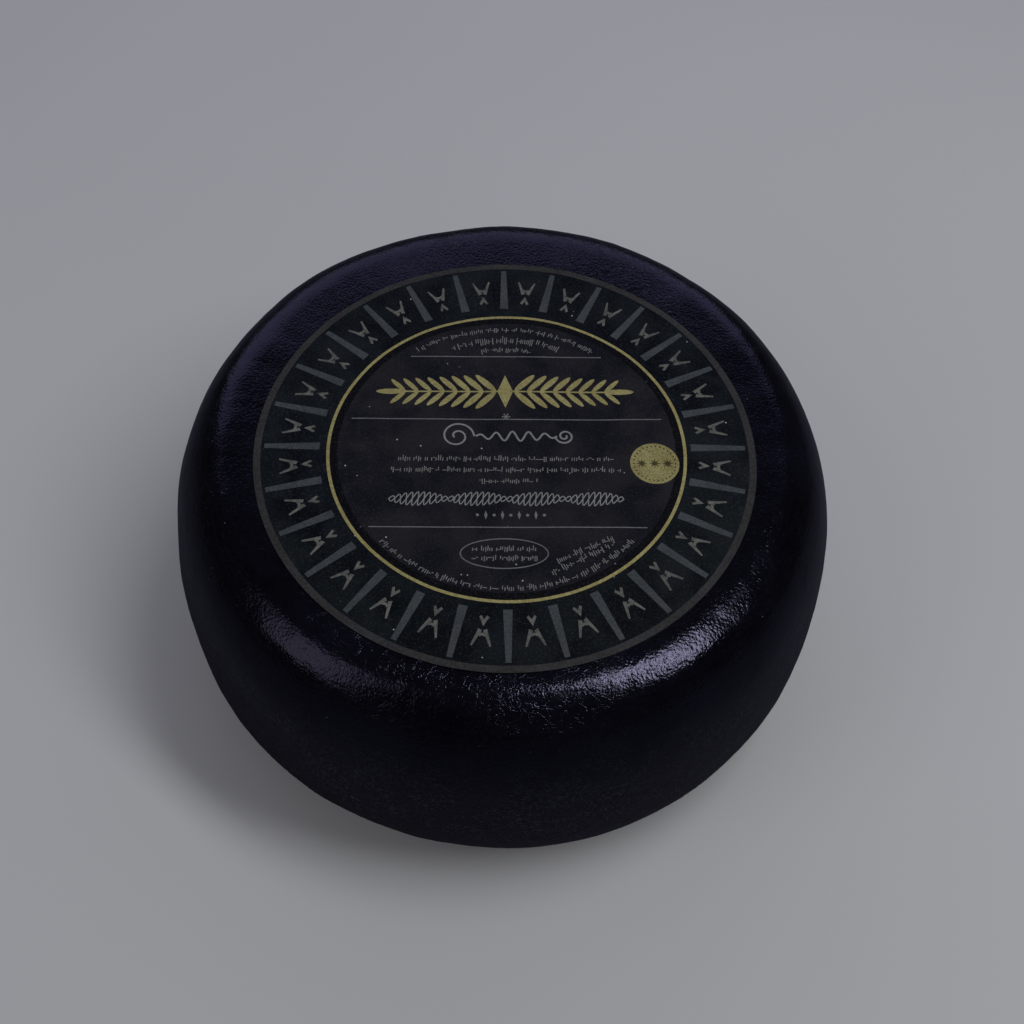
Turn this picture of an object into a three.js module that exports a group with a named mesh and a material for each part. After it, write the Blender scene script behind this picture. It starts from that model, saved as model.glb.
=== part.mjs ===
// A whole waxed cheese: a low round wheel with a broad flat top, a long soft shoulder and a
// belly that has slumped low, and the round paper label that is glued on its top.
// Millimetres, +Z up. The origin is the middle of the flat base, and -Y is the front.
import * as THREE from "three";

// The wheel of cheese in its wax
const WHEEL_DIAMETER = 260; // across the belly, the widest ring
const WHEEL_HEIGHT = 116; // from the flat base to the flat top
const BELLY_HEIGHT = 42; // the widest ring above the base
const SHOULDER_REACH = 30; // from the edge of the flat top out to the belly
const FOOT_REACH = 47; // from the edge of the flat base out to the belly
const SHOULDER_FULLNESS = 2.5; // 2 is an elliptical round, more is squarer
const FOOT_FULLNESS = 2.1;

// The paper label
const LABEL_MARGIN = 1; // flat wax left in front of the label, where it comes nearest the shoulder
const LABEL_SHIFT = 6; // it is stuck on this far in front of the wheel's middle
const LABEL_THICKNESS = 0.4;
const GLUE_FILM = 0.3; // between the wax and the paper

// How finely the rounds are stepped
const TURN_STEPS = 72; // around the wheel
const SHOULDER_STEPS = 14; // from the flat top down to the belly
const FOOT_STEPS = 8; // from the belly down to the flat base

const bellyRadius = WHEEL_DIAMETER / 2;
const topRadius = bellyRadius - SHOULDER_REACH;
const baseRadius = bellyRadius - FOOT_REACH;
const labelRadius = topRadius - LABEL_SHIFT - LABEL_MARGIN;
const labelBottom = WHEEL_HEIGHT + GLUE_FILM;
const labelTop = labelBottom + LABEL_THICKNESS;

const wax = new THREE.MeshStandardMaterial({ color: 0x15141f, roughness: 0.38, metalness: 0 });
const printedPaper = new THREE.MeshStandardMaterial({ color: 0x1b2426, roughness: 0.6, metalness: 0 });

// The rounded edge between a flat at flatHeight and the belly, as [radius, height] points from
// the edge of the flat to the belly: one quarter of a superellipse.
function roundedEdge(flatRadius, flatHeight, fullness, steps) {
  const points = [];
  for (let i = 0; i <= steps; i++) {
    const angle = ((i / steps) * Math.PI) / 2;
    const out = Math.sin(angle) ** (2 / fullness);
    const along = i < steps ? Math.cos(angle) ** (2 / fullness) : 0;
    points.push(
      new THREE.Vector2(
        flatRadius + (bellyRadius - flatRadius) * out,
        BELLY_HEIGHT + (flatHeight - BELLY_HEIGHT) * along,
      ),
    );
  }
  return points;
}

// A round solid from its half outline, which runs from the axis at the bottom to the axis at the
// top. The lathe turns it about Y, so it is stood up to turn about Z.
function turned(name, outline, material) {
  const geometry = new THREE.LatheGeometry(outline, TURN_STEPS);
  geometry.rotateX(Math.PI / 2);
  const mesh = new THREE.Mesh(geometry, material);
  mesh.name = name;
  return mesh;
}

function cheeseWheel() {
  const foot = roundedEdge(baseRadius, 0, FOOT_FULLNESS, FOOT_STEPS);
  const shoulder = roundedEdge(topRadius, WHEEL_HEIGHT, SHOULDER_FULLNESS, SHOULDER_STEPS);
  const outline = [
    new THREE.Vector2(0, 0),
    ...foot,
    ...shoulder.reverse().slice(1),
    new THREE.Vector2(0, WHEEL_HEIGHT),
  ];
  return turned("waxed_cheese_wheel", outline, wax);
}

function paperLabel() {
  const outline = [
    new THREE.Vector2(0, labelBottom),
    new THREE.Vector2(labelRadius, labelBottom),
    new THREE.Vector2(labelRadius, labelTop),
    new THREE.Vector2(0, labelTop),
  ];
  const label = turned("paper_label", outline, printedPaper);
  label.position.y = -LABEL_SHIFT;
  return label;
}

const group = new THREE.Group();
group.add(cheeseWheel(), paperLabel());

export default group;
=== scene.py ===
import math
import random
import bpy
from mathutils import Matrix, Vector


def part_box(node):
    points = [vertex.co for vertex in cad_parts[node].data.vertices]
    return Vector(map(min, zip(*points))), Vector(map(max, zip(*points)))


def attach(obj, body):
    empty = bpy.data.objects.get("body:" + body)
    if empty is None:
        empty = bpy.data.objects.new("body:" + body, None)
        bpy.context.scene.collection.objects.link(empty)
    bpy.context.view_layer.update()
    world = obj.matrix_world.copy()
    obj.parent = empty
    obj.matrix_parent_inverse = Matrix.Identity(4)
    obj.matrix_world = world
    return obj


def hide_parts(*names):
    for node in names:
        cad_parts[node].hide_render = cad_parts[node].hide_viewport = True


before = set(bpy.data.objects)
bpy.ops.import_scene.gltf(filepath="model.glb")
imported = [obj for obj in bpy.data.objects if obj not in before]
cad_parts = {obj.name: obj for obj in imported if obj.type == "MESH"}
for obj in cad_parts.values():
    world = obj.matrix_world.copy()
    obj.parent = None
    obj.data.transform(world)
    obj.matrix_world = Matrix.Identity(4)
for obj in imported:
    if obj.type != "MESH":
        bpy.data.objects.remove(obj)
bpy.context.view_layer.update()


# ---- The wheel of cheese in its wax ----
# A wheel of matured cheese that has slumped a little, so its belly sits low. It is dipped and
# brushed with black cheese wax, which dries satin, finely crinkled, with a violet cast. The wheel
# is drawn up ring by ring from its base, smoothed, and given the shallow lumps of real cheese.
wheel_low, wheel_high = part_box("waxed_cheese_wheel")
belly_radius = (wheel_high.x - wheel_low.x) / 2
wheel_top = wheel_high.z
belly_height = 0.042
top_flat_radius = belly_radius - 0.030
base_flat_radius = belly_radius - 0.047
shoulder_fullness = 2.5  # 2 is an elliptical round, more is squarer
foot_fullness = 2.1
wheel_sides = 600
foot_rings, shoulder_rings = 26, 58
flat_rings = 6
lump_width, lump_height = 0.060, 0.0016
dent_width, dent_height = 0.016, 0.00045
pucker_width, pucker_height = 0.0045, 0.00012
base_kept_flat, lumps_fade_in = 0.004, 0.015  # heights above the base
puckers_start, puckers_fade_in = 0.098, 0.010  # distances out from the wheel's axis, past the label
shoulder_start, shoulder_end = 0.068, 0.098  # the heights between which the wax turns from side to top
shoulder_radius = 0.115
grain_scale, pebble_scale, crease_scale = 1250, 980, 190  # features per metre
grain_depth = 0.00014
# The second wax colour is a violet haze painted into the base colour: a painted sheen standing in for the
# satin wax mirroring the room.
deep_wax, sheen_painted_wax = (0.0012, 0.0010, 0.0026, 1), (0.0044, 0.0040, 0.0088, 1)
# The bloom colour is partly the wax's own pale bloom and partly a painted violet sheen.
wax_bloom_and_sheen = (0.0360, 0.0335, 0.0530, 1)
wax_dust = (0.16, 0.16, 0.19, 1)
wax_gloss, wax_gloss_tint = 0.6, (0.70, 0.69, 1.0, 1)
side_roughness, top_roughness = 0.35, 0.120


def begin(name, add, **how):
    """Adds one primitive as a new piece and opens it for shaping."""
    bpy.ops.object.select_all(action="DESELECT")
    add(**how)
    piece = bpy.context.active_object
    piece.name = piece.data.name = name
    bpy.ops.object.mode_set(mode="EDIT")
    return piece


def close(piece):
    """Leaves edit mode and sets the piece's place into its mesh."""
    bpy.ops.object.mode_set(mode="OBJECT")
    bpy.ops.object.select_all(action="DESELECT")
    piece.select_set(True)
    bpy.context.view_layer.objects.active = piece
    bpy.ops.object.transform_apply(location=True, rotation=True, scale=True)


def apply_modifier(piece, kind, **settings):
    """Adds a modifier of that kind to the piece, sets it and applies it."""
    bpy.context.view_layer.objects.active = piece
    bpy.ops.object.modifier_add(type=kind)
    modifier = piece.modifiers[-1]
    for setting, value in settings.items():
        setattr(modifier, setting, value)
    bpy.ops.object.modifier_apply(modifier=modifier.name)


def round_edge(flat_radius, flat_height, fullness, steps):
    """Radius and height of the rings from the edge of a flat to the belly."""
    rings = []
    for step in range(steps + 1):
        angle = step / steps * math.pi / 2
        out = math.sin(angle) ** (2 / fullness)
        along = abs(math.cos(angle)) ** (2 / fullness)
        radius = flat_radius + (belly_radius - flat_radius) * out
        rings.append((radius, belly_height + (flat_height - belly_height) * along))
    return rings


def close_flat(inset):
    """Fills the selected flat face with rings and a fan, so that it can take the lumps."""
    for _ in range(flat_rings):
        bpy.ops.mesh.inset(thickness=inset)
    bpy.ops.mesh.poke()


foot = round_edge(base_flat_radius, 0, foot_fullness, foot_rings)
shoulder = round_edge(top_flat_radius, wheel_top, shoulder_fullness, shoulder_rings)
rings = foot + shoulder[-2::-1]
wheel = begin(
    "waxed_wheel_rind", bpy.ops.mesh.primitive_circle_add,
    vertices=wheel_sides, radius=base_flat_radius, fill_type="NGON",
)
for (radius, height), (next_radius, next_height) in zip(rings, rings[1:]):
    wider = next_radius / radius
    bpy.ops.mesh.extrude_region_move(TRANSFORM_OT_translate={"value": (0, 0, next_height - height)})
    bpy.ops.transform.resize(value=(wider, wider, 1), center_override=(0, 0, next_height))
close_flat(top_flat_radius / (flat_rings + 1))
bpy.ops.object.mode_set(mode="OBJECT")
for face in wheel.data.polygons:
    face.select = len(face.vertices) == wheel_sides
bpy.ops.object.mode_set(mode="EDIT")
close_flat(base_flat_radius / (flat_rings + 1))
bpy.ops.mesh.select_all(action="SELECT")
bpy.ops.mesh.normals_make_consistent(inside=False)
close(wheel)

lumps = bpy.data.textures.new("lumps", "CLOUDS")
lumps.noise_scale = lump_width
lumps.noise_depth = 1
dents = bpy.data.textures.new("dents", "CLOUDS")
dents.noise_scale = dent_width
dents.noise_depth = 2
puckers = bpy.data.textures.new("puckers", "CLOUDS")
puckers.noise_scale = pucker_width
puckers.noise_depth = 1


def follow_lumps(piece, direction, group=""):
    """Gives the piece the wheel's own shallow lumps and dents."""
    for texture, height in ((lumps, lump_height), (dents, dent_height)):
        apply_modifier(
            piece, "DISPLACE", texture=texture, strength=height, mid_level=0.5,
            direction=direction, texture_coords="LOCAL", vertex_group=group,
        )


above_base = wheel.vertex_groups.new(name="above_base")
on_side = wheel.vertex_groups.new(name="on_side")
for vertex in wheel.data.vertices:
    raised = min(1, max(0, (vertex.co.z - base_kept_flat) / lumps_fade_in))
    above_base.add([vertex.index], raised, "REPLACE")
    from_axis = math.hypot(vertex.co.x, vertex.co.y)
    beyond_label = min(1, max(0, (from_axis - puckers_start) / puckers_fade_in))
    on_side.add([vertex.index], raised * beyond_label, "REPLACE")
follow_lumps(wheel, "NORMAL", "above_base")
apply_modifier(
    wheel, "DISPLACE", texture=puckers, strength=pucker_height, mid_level=0.5,
    direction="NORMAL", texture_coords="LOCAL", vertex_group="on_side",
)
bpy.ops.object.shade_smooth()


def new_material(name):
    """An empty node material, its Principled shader, and a function that adds nodes to it."""
    material = bpy.data.materials.new(name)
    material.use_nodes = True
    tree = material.node_tree
    shader = tree.nodes["Principled BSDF"]

    def add(kind, inputs=(), **settings):
        node = tree.nodes.new(kind)
        for setting, value in settings.items():
            setattr(node, setting, value)
        for socket, value in dict(inputs).items():
            if isinstance(value, bpy.types.NodeSocket):
                tree.links.new(value, node.inputs[socket])
            else:
                node.inputs[socket].default_value = value
        return node

    def join(socket, target):
        tree.links.new(socket, shader.inputs[target])

    return material, shader, add, join


def place_of(add, stretch=(1, 1, 1), middle=(0, 0, 0)):
    """Object coordinates, moved and stretched."""
    return add(
        "ShaderNodeMapping", vector_type="POINT",
        inputs={
            "Vector": add("ShaderNodeTexCoord").outputs["Object"],
            "Scale": stretch,
            "Location": [-m * s for m, s in zip(middle, stretch)],
        },
    ).outputs["Vector"]


def noise(add, place, scale, detail, distortion=0.0):
    """The value of a noise texture, whose scale is in features per metre."""
    return add(
        "ShaderNodeTexNoise",
        inputs={"Vector": place, "Scale": scale, "Detail": detail, "Distortion": distortion},
    ).outputs["Fac"]


def remap(add, value, low, high, to_low=0.0, to_high=1.0):
    """value spread from low..high to to_low..to_high, held at both ends."""
    return add(
        "ShaderNodeMapRange",
        inputs={"Value": value, "From Min": low, "From Max": high,
                "To Min": to_low, "To Max": to_high},
    ).outputs["Result"]


def maths(add, operation, first, second=0.5):
    """One arithmetic step."""
    node = add("ShaderNodeMath", operation=operation, inputs={0: first, 1: second})
    return node.outputs["Value"]


def blend_colours(add, factor, first, second):
    """first where factor is 0, second where it is 1."""
    node = add("ShaderNodeMix", data_type="RGBA", inputs={0: factor, 6: first, 7: second})
    return node.outputs[2]


def vector_maths(add, operation, first, second=(0, 0, 0)):
    """One arithmetic step on vectors."""
    return add("ShaderNodeVectorMath", operation=operation, inputs={0: first, 1: second}).outputs["Vector"]


def level_part(add, place):
    """place without its height, and how long that is."""
    flat = vector_maths(add, "MULTIPLY", place, (1, 1, 0))
    return flat, add("ShaderNodeVectorMath", operation="LENGTH", inputs={0: flat}).outputs["Value"]


def specks(add, place, scale, size, edge):
    """Scattered specks: 1 up to that size from the middle of each, 0 beyond the edge."""
    cells = add("ShaderNodeTexVoronoi", feature="F1", inputs={"Vector": place, "Scale": scale})
    return remap(add, cells.outputs["Distance"], size, edge, 1, 0)


def black_wax():
    """Black wax: a crinkled, brushed side, smoother over the shoulder, with bloom and dust, and a violet
    sheen painted into its colour.
    """
    material, shader, add, join = new_material("black cheese wax")
    place = place_of(add)
    height = add("ShaderNodeSeparateXYZ", inputs={"Vector": place}).outputs["Z"]
    on_shoulder = remap(add, height, shoulder_start, shoulder_end)
    cloudy = noise(add, place, 24, detail=3)
    patchy = noise(add, place, 75, detail=3, distortion=0.5)
    brushed = noise(add, place_of(add, stretch=(1, 1, 7)), 110, detail=3, distortion=0.8)
    scuffs = noise(add, place_of(add, stretch=(1, 1, 14)), 60, detail=2, distortion=2.5)

    flat, reach = level_part(add, place)
    around = add(
        "ShaderNodeVectorMath", operation="SCALE",
        inputs={0: vector_maths(add, "NORMALIZE", flat), "Scale": shoulder_radius},
    ).outputs["Vector"]
    outward = maths(add, "MULTIPLY", maths(add, "SUBTRACT", reach, height), 0.50)
    outward = add("ShaderNodeCombineXYZ", inputs={"Z": outward}).outputs["Vector"]
    over_shoulder = vector_maths(add, "ADD", around, outward)
    drawn_share = maths(add, "MULTIPLY", on_shoulder, 0.6)
    grain = noise(add, place, grain_scale, detail=2, distortion=0.6)
    drawn = noise(add, over_shoulder, grain_scale, detail=2, distortion=0.8)
    grain = add(
        "ShaderNodeMix", data_type="FLOAT", inputs={0: drawn_share, 2: grain, 3: drawn},
    ).outputs[0]
    pebbles = add(
        "ShaderNodeTexVoronoi", feature="SMOOTH_F1",
        inputs={"Vector": place, "Scale": pebble_scale, "Smoothness": 0.5},
    ).outputs["Distance"]
    ridge = maths(add, "SUBTRACT", noise(add, place, crease_scale, detail=2, distortion=1.6), 0.5)
    ridge = maths(add, "ABSOLUTE", ridge)
    crease = remap(add, ridge, 0.0, 0.035)
    creased = remap(add, noise(add, place, 14, detail=1), 0.46, 0.60)
    crease = maths(add, "MULTIPLY", crease, creased)
    fine = maths(add, "ADD", grain, maths(add, "MULTIPLY", pebbles, -0.75))
    fine = maths(add, "MULTIPLY", fine, remap(add, on_shoulder, 0, 1, 0.75, 0.66))
    crinkle = maths(add, "MULTIPLY", crease, remap(add, on_shoulder, 0, 1, 0.06, 0.40))
    relief = maths(add, "ADD", fine, crinkle)
    relief = maths(add, "ADD", relief, maths(add, "MULTIPLY", brushed, 0.6))
    bump = add("ShaderNodeBump", inputs={"Strength": 1.0, "Distance": grain_depth, "Height": relief})
    join(bump.outputs["Normal"], "Normal")

    dust = specks(add, place, 210, 0.03, 0.06)
    dusty = maths(add, "MULTIPLY", dust, remap(add, patchy, 0.54, 0.58))
    # Painted sheen: mottled patches and streaks of violet haze in the base colour, standing in for reflection
    # on the satin wax.
    painted_sheen_mix = maths(add, "ADD", maths(add, "MULTIPLY", cloudy, 0.6), maths(add, "MULTIPLY", scuffs, 0.4))
    base = blend_colours(add, remap(add, painted_sheen_mix, 0.38, 0.62), deep_wax, sheen_painted_wax)
    # Fine flecks that are partly real bloom and partly painted sheen, strongest on the side below the
    # shoulder.
    bloom_and_sheen = remap(add, noise(add, place, 800, detail=3), 0.48, 0.68)
    bloom_and_sheen = maths(add, "MULTIPLY", bloom_and_sheen, remap(add, on_shoulder, 0, 1, 1.0, 0.1))
    bloom_and_sheen = maths(add, "MULTIPLY", bloom_and_sheen, remap(add, patchy, 0.38, 0.62, 0.25, 1.0))
    base = blend_colours(add, bloom_and_sheen, base, wax_bloom_and_sheen)
    join(blend_colours(add, dusty, base, wax_dust), "Base Color")
    satin = remap(add, on_shoulder, 0, 1, side_roughness, top_roughness)
    satin = maths(add, "ADD", satin, remap(add, brushed, 0.35, 0.7, -0.03, 0.05))
    join(maths(add, "ADD", satin, remap(add, patchy, 0.35, 0.65, -0.025, 0.035)), "Roughness")
    shader.inputs["Specular IOR Level"].default_value = wax_gloss
    shader.inputs["Specular Tint"].default_value = wax_gloss_tint
    return material


def finish_piece(piece, material):
    """The piece takes its material and rides with the wheel."""
    piece.data.materials.clear()
    piece.data.materials.append(material)
    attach(piece, "root")


finish_piece(wheel, black_wax())
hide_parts("waxed_cheese_wheel")


# ---- The paper label ----
# A round label of thin varnished paper, glued flat on the wheel a little in front of its middle.
# It is one disc cut into rings, thickened, and pressed onto the lumps of the wax under it. Its
# ground is printed: a charcoal middle, a near-black ring and a dark green band.
label_low, label_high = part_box("paper_label")
label_radius = (label_high.x - label_low.x) / 2
label_x = (label_high.x + label_low.x) / 2
label_y = (label_high.y + label_low.y) / 2
paper_top = wheel_top + 0.00045
paper_thickness = 0.00035
paper_rings, label_sides = 31, 192
panel_radius = 0.0622
foil_inner_radius = 0.0650
foil_outer_radius = 0.0662
print_x, print_y = label_x + 0.00045, label_y - 0.0008  # the panel is printed a little off the middle
print_width, print_depth = 1.0075, 0.9895  # and a little wider than it is deep
panel_dark, panel_worn = (0.0080, 0.0086, 0.0150, 1), (0.0245, 0.0230, 0.0280, 1)
band_dark, band_worn = (0.0012, 0.0034, 0.0062, 1), (0.0105, 0.0155, 0.0180, 1)
gap_black = (0.0030, 0.0032, 0.0050, 1)
fleck_grey = (0.06, 0.063, 0.07, 1)
paper_dust = (0.60, 0.61, 0.64, 1)

label = begin(
    "paper_sheet", bpy.ops.mesh.primitive_circle_add,
    vertices=label_sides, radius=label_radius, fill_type="NGON", location=(label_x, label_y, paper_top),
)
for _ in range(paper_rings - 1):
    bpy.ops.mesh.inset(thickness=label_radius / paper_rings)
bpy.ops.mesh.poke()
close(label)
apply_modifier(label, "SOLIDIFY", thickness=paper_thickness, offset=-1)
follow_lumps(label, "Z")
bpy.ops.object.shade_smooth_by_angle(angle=math.radians(40))


def from_print_middle(add):
    """Object coordinates counted from the middle of the print, and the distance from it."""
    place = place_of(add, (1 / print_width, 1 / print_depth, 1), (print_x, print_y, paper_top))
    return place, level_part(add, place)[1]


def varnish(add, join, place, roughness, spread, bump_depth):
    """The uneven satin varnish over paper and print alike: its gloss and its faint relief."""
    cloudy = noise(add, place, 45, detail=3)
    join(remap(add, cloudy, 0.3, 0.7, roughness - spread, roughness + spread), "Roughness")
    fibres = noise(add, place, 1300, detail=2, distortion=0.4)
    cockles = noise(add, place, 160, detail=2)
    relief = maths(add, "ADD", maths(add, "MULTIPLY", fibres, 0.25), cockles)
    bump = add("ShaderNodeBump", inputs={"Strength": 1.0, "Distance": bump_depth, "Height": relief})
    join(bump.outputs["Normal"], "Normal")


def printed_paper():
    """The label's printed ground: the panel, the dark ring round it, the band, flecks and dust."""
    material, shader, add, join = new_material("printed label paper")
    place, reach = from_print_middle(add)
    mottle = noise(add, place, 70, detail=4, distortion=0.5)
    worn = noise(add, place, 26, detail=4, distortion=1.2)
    speckle = noise(add, place, 1300, detail=2)
    patchy = maths(add, "ADD", maths(add, "MULTIPLY", mottle, 0.5), maths(add, "MULTIPLY", worn, 0.5))
    worn_away = remap(add, patchy, 0.41, 0.60)
    panel = blend_colours(add, worn_away, panel_dark, panel_worn)
    band = blend_colours(add, worn_away, band_dark, band_worn)
    in_gap = remap(add, reach, panel_radius - 0.0001, panel_radius + 0.0001)
    on_band = remap(add, reach, foil_inner_radius, foil_inner_radius + 0.0002)
    ground = blend_colours(add, in_gap, panel, gap_black)
    ground = blend_colours(add, on_band, ground, band)
    ground = blend_colours(add, remap(add, speckle, 0.52, 0.8, 0, 0.45), ground, fleck_grey)
    dust = specks(add, place, 190, 0.04, 0.07)
    dusty = maths(add, "MULTIPLY", dust, remap(add, mottle, 0.52, 0.55))
    join(blend_colours(add, dusty, ground, paper_dust), "Base Color")
    varnish(add, join, place, roughness=0.50, spread=0.07, bump_depth=0.00006)
    shader.inputs["Specular IOR Level"].default_value = 0.12
    return material


finish_piece(label, printed_paper())
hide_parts("paper_label")


# ---- The rim of the label and the ring of gold foil ----
# A narrow grey rim is printed along the cut edge of the paper, and a thin ring of gold foil is
# stamped where the panel meets the band. Each is an outline drawn out into a ring, a film of ink
# or foil thick.
film = 0.00005
rim_inner_radius, rim_outer_radius = 0.0903, label_radius - 0.0001
gold_dark, gold_bright = (0.39, 0.340, 0.130, 1), (0.59, 0.530, 0.220, 1)
rim_dark, rim_light = (0.031, 0.030, 0.029, 1), (0.058, 0.058, 0.057, 1)


def film_over_paper(piece):
    """Thickens a flat print to a film and presses it onto the paper."""
    apply_modifier(piece, "SOLIDIFY", thickness=film, offset=1)
    follow_lumps(piece, "Z")


def close_face_up(piece):
    """Turns the open flat piece's faces all one way, closes it, and makes them face up."""
    bpy.ops.mesh.select_all(action="SELECT")
    bpy.ops.mesh.normals_make_consistent(inside=False)
    close(piece)
    if piece.data.polygons[0].normal.z < 0:
        piece.data.flip_normals()


def ring_print(name, inner, outer, x=label_x, y=label_y, width=1, depth=1):
    """A flat ring on the label, as a film, which may be drawn out to an oval."""
    ring = begin(
        name, bpy.ops.mesh.primitive_circle_add,
        vertices=label_sides, radius=inner, location=(x, y, paper_top),
    )
    wider = outer / inner
    bpy.ops.transform.resize(value=(width, depth, 1), center_override=(x, y, paper_top))
    bpy.ops.mesh.extrude_edges_move()
    bpy.ops.transform.resize(value=(wider, wider, 1), center_override=(x, y, paper_top))
    close_face_up(ring)
    film_over_paper(ring)
    return ring


def ink(name, dark, light, roughness, grain=900, metal=0.0):
    """Printing ink or foil, mottled between two colours."""
    material, shader, add, join = new_material(name)
    place, _ = from_print_middle(add)
    patches = maths(add, "MULTIPLY", noise(add, place, 80, detail=2), 0.6)
    mottle = maths(add, "ADD", noise(add, place, grain, detail=2), patches)
    join(blend_colours(add, remap(add, mottle, 0.6, 1.0), dark, light), "Base Color")
    varnish(add, join, place, roughness, spread=0.06, bump_depth=0.00004)
    shader.inputs["Metallic"].default_value = metal
    shader.inputs["Specular IOR Level"].default_value = 0.25
    return material


gold = ink("gold foil", gold_dark, gold_bright, roughness=0.42, metal=0.25)
rim = ring_print("label_rim", rim_inner_radius, rim_outer_radius)
rim_ink = ink("grey rim ink", rim_dark, rim_light, roughness=0.6)
finish_piece(rim, rim_ink)
foil_ring = ring_print(
    "gold_foil_ring", foil_inner_radius, foil_outer_radius, print_x, print_y, print_width, print_depth,
)
finish_piece(foil_ring, gold)


# ---- The band of bars and chevrons ----
# Round the band stand 28 bars of grey ink that narrow outwards, and between them small pale
# chevrons, each with a dart between its legs and a swallowtail at its tip. One bar and one
# chevron are drawn, then each is copied round the label.
bar_count = 28
bar_inner_radius, bar_outer_radius = 0.0688, 0.0892
bar_inner_width, bar_outer_width = 0.0033, 0.0020
turn = 2 * math.pi / bar_count
# Corners of half a chevron: how far across from its own line, and out from the label's middle
chevron_leg = [(0.0002, 0.0774), (0.0015, 0.0766), (0.0036, 0.0832), (0.0030, 0.0835)]
chevron_tail = [(0.0000, 0.0757), (0.0000, 0.0731), (0.0010, 0.0714), (0.0017, 0.0721)]
chevron_dart = [(0.0000, 0.0781), (0.0011, 0.0788), (0.0009, 0.0797), (0.0000, 0.0792)]
overprint = 0.00001  # how far a print that crosses another stands over it
bar_dark, bar_light = (0.050, 0.061, 0.067, 1), (0.088, 0.103, 0.112, 1)
pale_dark, pale_light = (0.095, 0.098, 0.088, 1), (0.21, 0.21, 0.185, 1)


def on_label(x, y, layer=0):
    """The place on the paper that is x to the right of and y behind the label's middle."""
    return label_x + x, label_y + y, paper_top + layer * overprint


def begin_empty(name, x=0, y=0):
    """Opens a new piece on the label with nothing in it yet."""
    piece = begin(name, bpy.ops.mesh.primitive_plane_add, size=1, location=on_label(x, y))
    bpy.ops.mesh.delete(type="VERT")
    return piece


def repeat_round(count, angle):
    """Copies what is selected round the label's middle, count copies an angle apart."""
    for _ in range(count):
        bpy.ops.mesh.duplicate()
        bpy.ops.transform.rotate(value=angle, orient_axis="Z", center_override=on_label(0, 0))


def corners_to(piece, corners):
    """Moves the selected corners of the plane that was just added to the given places."""
    bpy.ops.object.mode_set(mode="OBJECT")
    chosen = [v for v in piece.data.vertices if v.select]
    middle_x = sum(v.co.x for v in chosen) / len(chosen)
    middle_y = sum(v.co.y for v in chosen) / len(chosen)
    chosen.sort(key=lambda v: math.atan2(v.co.y - middle_y, v.co.x - middle_x))
    for vertex, (x, y) in zip(chosen, corners):
        vertex.co.x, vertex.co.y = x, y
    bpy.ops.object.mode_set(mode="EDIT")


bars = begin("band_bars", bpy.ops.mesh.primitive_plane_add, size=1, location=on_label(0, 0))
corners_to(bars, [
    (-bar_outer_width / 2, -bar_outer_radius), (bar_outer_width / 2, -bar_outer_radius),
    (bar_inner_width / 2, -bar_inner_radius), (-bar_inner_width / 2, -bar_inner_radius),
])
bpy.ops.mesh.subdivide(number_cuts=6)
repeat_round(bar_count - 1, turn)
close(bars)
film_over_paper(bars)
bar_ink = ink("grey bar ink", bar_dark, bar_light, roughness=0.5, grain=1100)
finish_piece(bars, bar_ink)

chevrons = begin_empty("band_chevrons")
for side in (1, -1):
    for corners in (chevron_leg, chevron_tail, chevron_dart):
        bpy.ops.mesh.primitive_plane_add(size=1, location=on_label(0, 0))
        corners_to(chevrons, [(side * across, -out) for across, out in corners[::-side]])
bpy.ops.mesh.select_all(action="SELECT")
bpy.ops.transform.rotate(value=turn / 2, orient_axis="Z", center_override=on_label(0, 0))
repeat_round(bar_count - 1, turn)
close(chevrons)
film_over_paper(chevrons)
pale_ink = ink("pale ink", pale_dark, pale_light, roughness=0.5, grain=500)
finish_piece(chevrons, pale_ink)


# ---- The rules and the oval ----
# Three fine rules cross the panel, and a thin oval stands near its foot. All are pale grey ink:
# a strip for each rule, cut across so that it follows the paper, and a ring drawn out to an oval.
rule_width = 0.00042
rule_cuts = 40
rules_x = 0.0005
rule_places = ((0.0434, 0.0370), (0.0130, 0.0582), (-0.0354, 0.0497))  # y and half the length of each
oval_x, oval_y = -0.001, -0.0463
oval_half_width, oval_half_height = 0.0157, 0.0063
rule_dark, rule_light = (0.17, 0.17, 0.18, 1), (0.24, 0.24, 0.25, 1)


def strip(x, y, width, height):
    """A flat strip, added to the piece that is open."""
    bpy.ops.mesh.primitive_plane_add(size=1, location=on_label(x, y))
    bpy.ops.transform.resize(value=(width, height, 1), center_override=on_label(x, y))


rules = begin_empty("panel_rules")
for rule_y, half_length in rule_places:
    strip(rules_x, rule_y, 2 * half_length, rule_width)
bpy.ops.mesh.select_all(action="SELECT")
bpy.ops.mesh.subdivide(number_cuts=rule_cuts)
close(rules)
film_over_paper(rules)
rule_ink = ink("grey rule ink", rule_dark, rule_light, roughness=0.5)
finish_piece(rules, rule_ink)

oval_middle = on_label(oval_x, oval_y)
narrower, lower = 1 - rule_width / oval_half_width, 1 - rule_width / oval_half_height
oval = begin(
    "panel_oval", bpy.ops.mesh.primitive_circle_add,
    vertices=96, radius=oval_half_width, location=oval_middle,
)
bpy.ops.transform.resize(value=(1, oval_half_height / oval_half_width, 1), center_override=oval_middle)
bpy.ops.mesh.extrude_edges_move()
bpy.ops.transform.resize(value=(narrower, lower, 1), center_override=oval_middle)
close_face_up(oval)
film_over_paper(oval)
finish_piece(oval, rule_ink)


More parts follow.
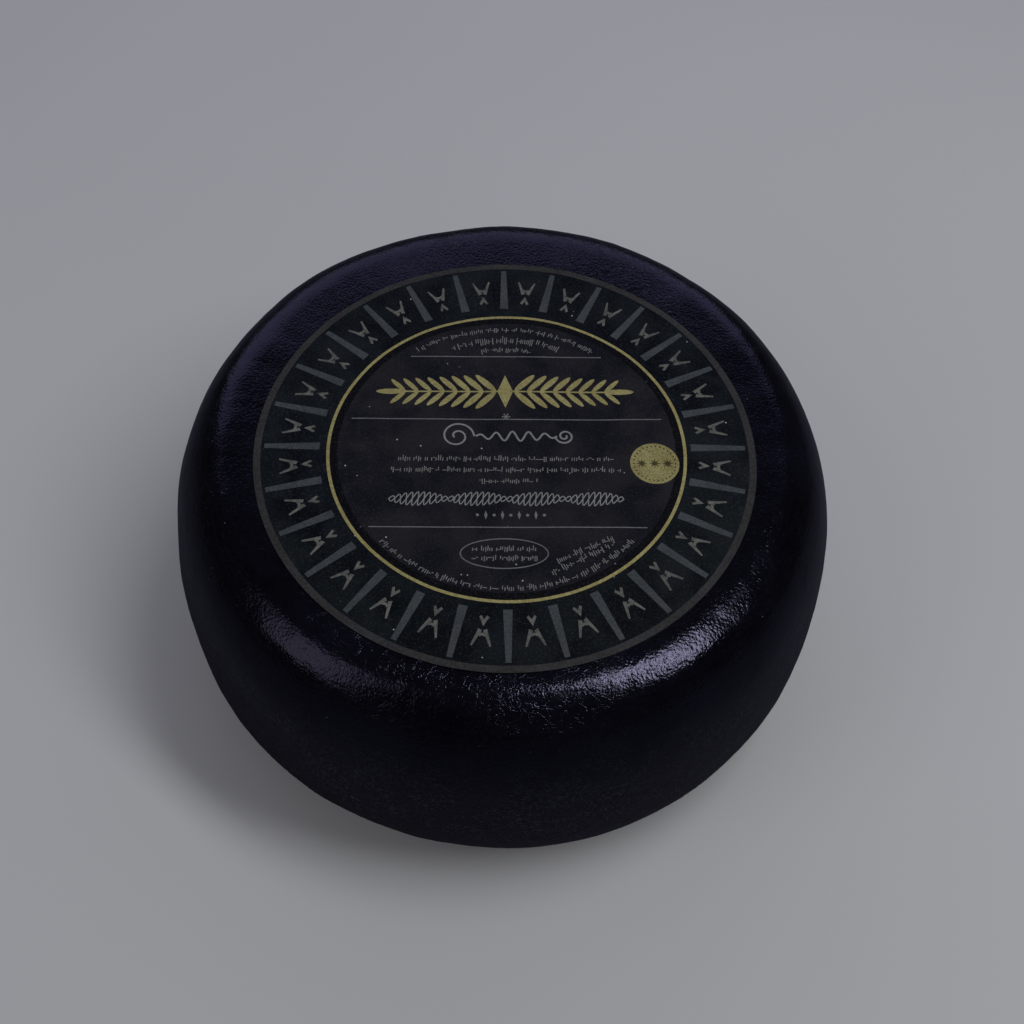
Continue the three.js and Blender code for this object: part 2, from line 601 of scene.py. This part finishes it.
# ---- The gold garland ----
# Across the head of the panel runs a garland in gold foil: from a lozenge in the middle, a leafy
# stem reaches to each side. One leaf is drawn and pointed, and its copies are laid along the stem.
garland_y = 0.0262
garland_reach = 0.0492
leaf_length, leaf_width = 0.0112, 0.0026
leaf_lean = math.radians(46)
leaf_pairs = 8
first_leaf, leaf_shrink = 0.0035, 0.04  # how far out the first pair grows, and how much each is smaller
stem_width, stem_cuts = 0.0007, 24
knot_half_width, knot_half_height = 0.0030, 0.0078

garland = begin_empty("gold_garland", 0, garland_y)
strip(0, garland_y, 2 * (garland_reach - leaf_length / 2), stem_width)
bpy.ops.mesh.subdivide(number_cuts=stem_cuts)


def leaf(x, y, length, width, lean):
    """A pointed leaf that grows from x, y and leans by that angle from straight out."""
    bpy.ops.mesh.primitive_circle_add(
        vertices=14, radius=0.5, fill_type="NGON", location=on_label(x + 0.5 * length, y, 1),
    )
    middle = on_label(x + 0.5 * length, y)
    bpy.ops.transform.resize(value=(length, width, 1), center_override=middle)
    bpy.ops.mesh.poke()
    bpy.ops.transform.rotate(value=lean, orient_axis="Z", center_override=on_label(x, y))


last_leaf = garland_reach - leaf_length
for side in (1, -1):
    for pair in range(leaf_pairs):
        along = first_leaf + pair * (last_leaf - first_leaf) / (leaf_pairs - 1)
        size = 1 - leaf_shrink * pair
        for lean in (leaf_lean, -leaf_lean):
            outward = lean if side > 0 else math.pi - lean
            leaf(side * along, garland_y, leaf_length * size, leaf_width * size, outward)
    leaf(side * last_leaf, garland_y, leaf_length, leaf_width, 0 if side > 0 else math.pi)
bpy.ops.mesh.primitive_circle_add(vertices=4, radius=1, fill_type="NGON", location=on_label(0, garland_y, 2))
bpy.ops.transform.resize(value=(knot_half_width, knot_half_height, 1), center_override=on_label(0, garland_y))
close(garland)
film_over_paper(garland)
finish_piece(garland, gold)


# ---- The pen flourishes ----
# Two lines of pale ink look drawn with a pen: a coil with a wave after it, and a long braid of two
# waves under the small print. Each is a smooth line with a round stroke, pressed flat.
pen_width = 0.00085
stroke_flatness = 0.12
coil_x, coil_y = -0.0182, 0.0052
coil_small, coil_large, coil_turns, coil_steps = 0.0010, 0.0064, 1.6, 80
end_coil_x, end_coil_size = 0.02201, 0.55
steps_in_wave = 16
wave_start, wave_end, wave_swing = -0.0112, 0.0192, 0.0022
braid_reach, braid_y, braid_swing, braid_slant = 0.0425, -0.0232, 0.0030, 0.35
braid_width = pen_width * 0.58
pen_dark, pen_light = (0.27, 0.275, 0.265, 1), (0.35, 0.355, 0.34, 1)


def pen_line(name, strokes, width):
    """Flattened pen strokes through rows of points, which are counted from the label's middle."""
    bpy.ops.object.select_all(action="DESELECT")
    bpy.ops.curve.primitive_nurbs_path_add(location=(0, 0, 0))
    line = bpy.context.active_object
    line.name = name
    line.data.splines.clear()
    for points in strokes:
        spline = line.data.splines.new("POLY")
        spline.points.add(len(points) - 1)
        for point, (x, y) in zip(spline.points, points):
            point.co = (label_x + x, label_y + y, 0, 1)
    line.data.bevel_depth = width / 2
    line.data.bevel_resolution = 1
    line.data.use_fill_caps = True
    bpy.ops.object.convert(target="MESH")
    bpy.ops.object.mode_set(mode="EDIT")
    bpy.ops.mesh.select_all(action="SELECT")
    bpy.ops.transform.resize(value=(1, 1, stroke_flatness), center_override=(0, 0, 0))
    bpy.ops.transform.translate(value=(0, 0, paper_top))
    close(line)
    follow_lumps(line, "Z")
    bpy.ops.object.shade_smooth()
    return line


def coil(x, y, small, large, turns):
    """An open coil that unrolls clockwise from its middle at x, y and ends at its right."""
    points = []
    for step in range(coil_steps):
        part = step / (coil_steps - 1)
        angle = 2 * math.pi * turns * (1 - part)
        radius = small + (large - small) * part
        points.append((x + radius * math.cos(angle), y + radius * math.sin(angle)))
    return points


def wave(start, end, y, swing, swells, waves, slant=0.0, phase=0.0):
    """A wave from start to end that swells and dies away that many times."""
    points = []
    for step in range(waves * steps_in_wave + 1):
        part = step / (waves * steps_in_wave)
        rise = swing * (0.25 + 0.75 * abs(math.sin(math.pi * swells * part)))
        rise *= math.sin(2 * math.pi * waves * part + phase)
        points.append((start + (end - start) * part + slant * rise, y + rise))
    return points


pen_ink = ink("pen ink", pen_dark, pen_light, roughness=0.5)
left_coil = coil(coil_x, coil_y, coil_small, coil_large, coil_turns)
middle_wave = wave(wave_start, wave_end, coil_y, wave_swing, swells=1, waves=5)
end_coil = []
for x, y in left_coil:
    end_coil.append((end_coil_x - (x - coil_x) * end_coil_size, coil_y - (y - coil_y) * end_coil_size))
tendril = pen_line("pen_tendril", [left_coil, middle_wave, end_coil], pen_width)
finish_piece(tendril, pen_ink)

braid_waves = []
for phase in (0, math.pi):
    braid_waves.append(wave(
        -braid_reach, braid_reach, braid_y, braid_swing, swells=4, waves=20, slant=braid_slant, phase=phase,
    ))
braid = pen_line("pen_braid", braid_waves, braid_width)
finish_piece(braid, pen_ink)


# ---- The small print ----
# What would be fine print is rows of tiny strokes of pale ink, in groups like words: straight rows
# in the middle, bowed rows at the head and foot, and two slanted rows at the lower right. The
# strokes are planes, each set at its place and leaned a little, all one piece.
stroke_pitch = 0.00078
stroke_width = 0.00034
word_gap = 0.0009
text_height, inset_height = 0.0024, 0.0021
middle_rows = ((-0.0395, 0.0395, -0.0055), (-0.0420, 0.0422, -0.0105), (-0.0095, 0.0112, -0.0155))
oval_rows = ((-0.0122, 0.0106, -0.0446), (-0.0122, 0.0106, -0.0484))  # from x to x, at y
head_bows = (  # radius, half the length, height of the strokes
    (0.0573, 0.0362, text_height), (0.0517, 0.0212, 0.0034), (0.0466, 0.0097, text_height),
)
foot_bow_radius, foot_bow_half = 0.0607, 0.0500
slanted_rows = (  # from x to x, at y, height of the strokes, slant in degrees
    (0.0197, 0.0414, -0.0577, text_height, -24.8), (0.0180, 0.0432, -0.0627, 0.0026, -28),
)
print_dark, print_light = (0.20, 0.20, 0.195, 1), (0.28, 0.28, 0.27, 1)
draw = random.Random(5)

small_print = begin_empty("small_print")


def stroke(x, y, height, bend_radius=0.0, foot=False, slant=0.0):
    """One stroke at x along a row at height y, or x along a bow of that radius about the middle."""
    if bend_radius:
        start_x, row_y = 0, (-bend_radius if foot else bend_radius)
    else:
        start_x, row_y = x, y
    tall = height * draw.choice((0.6, 0.62, 0.65, 1.0))
    wide = stroke_width * draw.choice((1.0, 1.0, 1.15, 2.2))
    if wide > 2 * stroke_width:
        tall = stroke_width  # a short dash between the upright strokes
    lift = draw.choice((0, 0, 0.5)) * height * 0.5
    strip(start_x, row_y + lift, wide, tall)
    lean = draw.uniform(0.02, 0.10)
    bpy.ops.transform.rotate(value=lean, orient_axis="Z", center_override=on_label(start_x, row_y))
    if bend_radius:
        around = x / bend_radius * (1 if foot else -1)
        bpy.ops.transform.rotate(value=around, orient_axis="Z", center_override=on_label(0, 0))
    elif slant:
        bpy.ops.transform.rotate(value=slant, orient_axis="Z", center_override=on_label(0, y))


def row(start, end, y, height, **shape):
    """Strokes from start to end in groups of two to nine."""
    x = start
    while x < end:
        for _ in range(draw.randint(2, 9)):
            if x < end:
                stroke(x, y, height, **shape)
            x += stroke_pitch * draw.uniform(0.85, 1.15)
        x += word_gap


for left, right, y in middle_rows:
    row(left, right, y, text_height)
for left, right, y in oval_rows:
    row(left, right, y, inset_height)
for radius, half, height in head_bows:
    row(-half, half, 0, height, bend_radius=radius)
row(-foot_bow_half, foot_bow_half, 0, text_height, bend_radius=foot_bow_radius, foot=True)
for left, right, y, height, slant in slanted_rows:
    row(left, right, y, height, slant=math.radians(slant))
close(small_print)
film_over_paper(small_print)
print_ink = ink("small print ink", print_dark, print_light, roughness=0.5)
finish_piece(small_print, print_ink)


# ---- The small ornaments ----
# A tiny rosette of pale ink sits on the middle rule, and a row of lozenges and dots stands under
# the braid. Each is a circle with few corners, drawn out to its size, all one piece.
rosette_x, rosette_y, rosette_radius = 0.0002, 0.0142, 0.0013
petal_count, petal_radius = 6, 0.00036
ornament_x, ornament_y, ornament_pitch = 0.0015, -0.0302, 0.0030
dot_size, lozenge_height = 0.0006, 0.0019

ornaments = begin_empty("panel_ornaments")


def spot(x, y, wide, tall, corners):
    """A filled figure with that many corners, added to the piece that is open."""
    bpy.ops.mesh.primitive_circle_add(vertices=corners, radius=1, fill_type="NGON", location=on_label(x, y))
    bpy.ops.transform.resize(value=(wide, tall, 1), center_override=on_label(x, y))


spot(rosette_x, rosette_y, rosette_radius * 0.55, rosette_radius * 0.55, 12)
for petal in range(petal_count):
    angle = petal * 2 * math.pi / petal_count
    petal_x = rosette_x + rosette_radius * 0.95 * math.cos(angle)
    petal_y = rosette_y + rosette_radius * 0.95 * math.sin(angle)
    spot(petal_x, petal_y, petal_radius, petal_radius, 8)
for step in range(-4, 5):
    if step % 2:
        spot(ornament_x + ornament_pitch * step, ornament_y, dot_size, lozenge_height, 4)
    else:
        spot(ornament_x + ornament_pitch * step, ornament_y, dot_size, dot_size, 10)
close(ornaments)
film_over_paper(ornaments)
finish_piece(ornaments, print_ink)


# ---- The gold seal ----
# At the right of the panel sits a round seal of speckled gold foil, with three small dark stars
# and a ring of dots printed on it. Each star is four thin lozenges crossed at their middles.
seal_x, seal_y, seal_radius = 0.0549, -0.0072, 0.0091
seal_rings = 5
star_gap, star_radius, ray_width = 0.0048, 0.0021, 0.000462
dot_count, dot_ring_radius, dot_radius = 30, 0.0077, 0.00032
seal_dark, seal_bright = (0.30, 0.26, 0.09, 1), (0.60, 0.54, 0.24, 1)
star_dark, star_light = (0.06, 0.05, 0.018, 1), (0.10, 0.085, 0.03, 1)

seal = begin(
    "gold_seal", bpy.ops.mesh.primitive_circle_add,
    vertices=72, radius=seal_radius, fill_type="NGON", location=on_label(seal_x, seal_y),
)
for _ in range(seal_rings - 1):
    bpy.ops.mesh.inset(thickness=seal_radius / seal_rings)
bpy.ops.mesh.poke()
close(seal)
film_over_paper(seal)
seal_gold = ink("seal gold foil", seal_dark, seal_bright, roughness=0.42, grain=1500, metal=0.25)
finish_piece(seal, seal_gold)

seal_print = begin_empty("seal_stars", seal_x, seal_y)
for star in (-1, 0, 1):
    middle = on_label(seal_x + star * star_gap, seal_y)
    for quarter in range(4):
        bpy.ops.mesh.primitive_circle_add(vertices=4, radius=1, fill_type="NGON", location=middle)
        bpy.ops.transform.resize(value=(star_radius, ray_width, 1), center_override=middle)
        bpy.ops.transform.rotate(value=quarter * math.pi / 4, orient_axis="Z", center_override=middle)
for dot in range(dot_count):
    angle = 2 * math.pi * dot / dot_count
    dot_x = seal_x + dot_ring_radius * math.cos(angle)
    dot_y = seal_y + dot_ring_radius * math.sin(angle)
    bpy.ops.mesh.primitive_circle_add(
        vertices=8, radius=dot_radius, fill_type="NGON", location=on_label(dot_x, dot_y),
    )
bpy.ops.mesh.select_all(action="SELECT")
bpy.ops.transform.translate(value=(0, 0, film))
close(seal_print)
film_over_paper(seal_print)
dark_ink = ink("dark seal ink", star_dark, star_light, roughness=0.5)
finish_piece(seal_print, dark_ink)


# ---- Floor, lights and camera ----
# A pale floor that fades into the backdrop far out, soft studio lamps round the wheel, and the
# camera above its front. To glossy rays the floor and the backdrop are darker than they look, so
# the wax mirrors a dim room.
floor_size = 14
floor_fade_start, floor_fade_end = 0.55, 1.5
floor_dark, floor_light = (0.78, 0.78, 0.78, 1), (0.84, 0.84, 0.84, 1)
floor_mirrored = (0.10, 0.10, 0.13, 1)
backdrop_colour = (0.9, 0.92, 0.95, 1)
backdrop_light, backdrop_mirrored, backdrop_seen = 0.14, 0.022, 0.42
lamps_aim = (0, 0, 0.08)
aim_x, aim_y, aim_z = 0.0019, -0.0350, 0.1167
camera_distance = 0.4715
camera_height_angle = math.radians(56.40)
camera_side_angle = math.radians(-2.87)
camera_tilt = math.radians(2.58)
lens = 46.21

bpy.ops.object.select_all(action="DESELECT")
bpy.ops.mesh.primitive_plane_add(size=floor_size)
floor = bpy.context.active_object
floor.name = "floor"
floor_material, floor_shader, add, join = new_material("pale floor")
floor_mottle = noise(add, place_of(add), 3, detail=2)
pale_floor = blend_colours(add, floor_mottle, floor_dark, floor_light)
in_gloss = add("ShaderNodeLightPath").outputs["Is Glossy Ray"]
join(blend_colours(add, in_gloss, pale_floor, floor_mirrored), "Base Color")
_, far_out = level_part(add, place_of(add))
join(remap(add, far_out, floor_fade_start, floor_fade_end, 1, 0), "Alpha")
floor_shader.inputs["Roughness"].default_value = 1.0
floor_shader.inputs["Specular IOR Level"].default_value = 0.0
floor.data.materials.append(floor_material)


def soft_lamp(name, place, size, watts, colour, roll=0):
    """A soft lamp at place, turned to the wheel and rolled about its beam."""
    bpy.ops.object.light_add(type="AREA", location=place)
    lamp = bpy.context.active_object
    lamp.name = name
    lamp.data.shape = "RECTANGLE"
    lamp.data.size, lamp.data.size_y = size
    lamp.data.energy = watts
    lamp.data.color = colour
    away = lamp.location - Vector(lamps_aim)
    lamp.rotation_euler = away.to_track_quat("Z", "Y").to_euler()
    lamp.rotation_euler.rotate_axis("Z", math.radians(roll))


def towards(side, height, distance):
    """The place at that side angle from +Y towards +X, that height angle and that distance."""
    side, height = math.radians(side), math.radians(height)
    return (
        distance * math.sin(side) * math.cos(height),
        distance * math.cos(side) * math.cos(height),
        distance * math.sin(height) + 0.1,
    )


soft_lamp(
    "right_lamp", towards(104, 62.5, 1.3), size=(0.22, 1.00), watts=4.9, colour=(0.95, 0.96, 1), roll=-31,
)
soft_lamp(
    "left_lamp", towards(-119, 35.5, 1.3), size=(0.54, 1.06), watts=1.15, colour=(0.94, 0.91, 1), roll=8,
)
soft_lamp("back_lamp", towards(-6, 27, 1.8), size=(2.5, 1.1), watts=4.0, colour=(0.62, 0.62, 1))
soft_lamp("top_lamp", towards(180, 88, 1.6), size=(1.8, 1.8), watts=0.15, colour=(0.85, 0.85, 1))

world = bpy.data.worlds.new("studio")
bpy.context.scene.world = world
world.use_nodes = True
sky = world.node_tree
backdrop = sky.nodes["Background"]
backdrop.inputs["Color"].default_value = backdrop_colour
ray = sky.nodes.new("ShaderNodeLightPath")
for_light = sky.nodes.new("ShaderNodeMapRange")
for_light.inputs["To Min"].default_value = backdrop_light
for_light.inputs["To Max"].default_value = backdrop_mirrored
in_view = sky.nodes.new("ShaderNodeMapRange")
in_view.inputs["To Max"].default_value = backdrop_seen
sky.links.new(ray.outputs["Is Glossy Ray"], for_light.inputs["Value"])
sky.links.new(for_light.outputs["Result"], in_view.inputs["To Min"])
sky.links.new(ray.outputs["Is Camera Ray"], in_view.inputs["Value"])
sky.links.new(in_view.outputs["Result"], backdrop.inputs["Strength"])

side_reach = camera_distance * math.cos(camera_height_angle)
bpy.ops.object.camera_add(location=(
    aim_x + side_reach * math.sin(camera_side_angle),
    aim_y - side_reach * math.cos(camera_side_angle),
    aim_z + camera_distance * math.sin(camera_height_angle),
))
camera = bpy.context.active_object
line_of_sight = camera.location - Vector((aim_x, aim_y, aim_z))
camera.rotation_euler = line_of_sight.to_track_quat("Z", "Y").to_euler()
camera.rotation_euler.rotate_axis("Z", camera_tilt)
camera.data.sensor_width = 36
camera.data.lens = lens
camera.data.clip_start = 0.01
bpy.context.scene.camera = camera
bpy.context.scene.view_settings.view_transform = "Standard"
